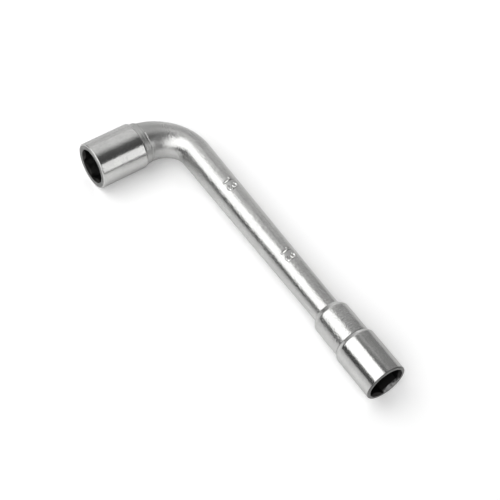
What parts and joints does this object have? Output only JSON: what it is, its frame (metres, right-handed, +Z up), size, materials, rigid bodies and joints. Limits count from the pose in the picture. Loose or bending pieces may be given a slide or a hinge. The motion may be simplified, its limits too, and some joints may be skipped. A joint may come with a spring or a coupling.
{
  "type": "l-shaped socket wrench",
  "caption": "Chromed L-shaped socket wrench: a round shank bent at a right angle, with a hexagon socket on each end for turning nuts.",
  "frame": {"origin": "on the surface that the wrench lies on, under the middle of its bounding box", "axes": "+X along the long arm towards its mouth, the short arm along -Y, +Z up, square to both arms"},
  "size_m": [0.16, 0.0502, 0.0204],
  "materials": {
    "satin_chrome": "satin chrome plate over forged steel",
    "polished_chrome": "polished chrome plate over turned steel"
  },
  "bodies": {
    "root": {"bent_shank": "satin_chrome", "seat_ring": "satin_chrome", "elbow_socket": "polished_chrome", "shaft_collar": "satin_chrome", "shaft_socket": "polished_chrome"}
  },
  "joints": []
}
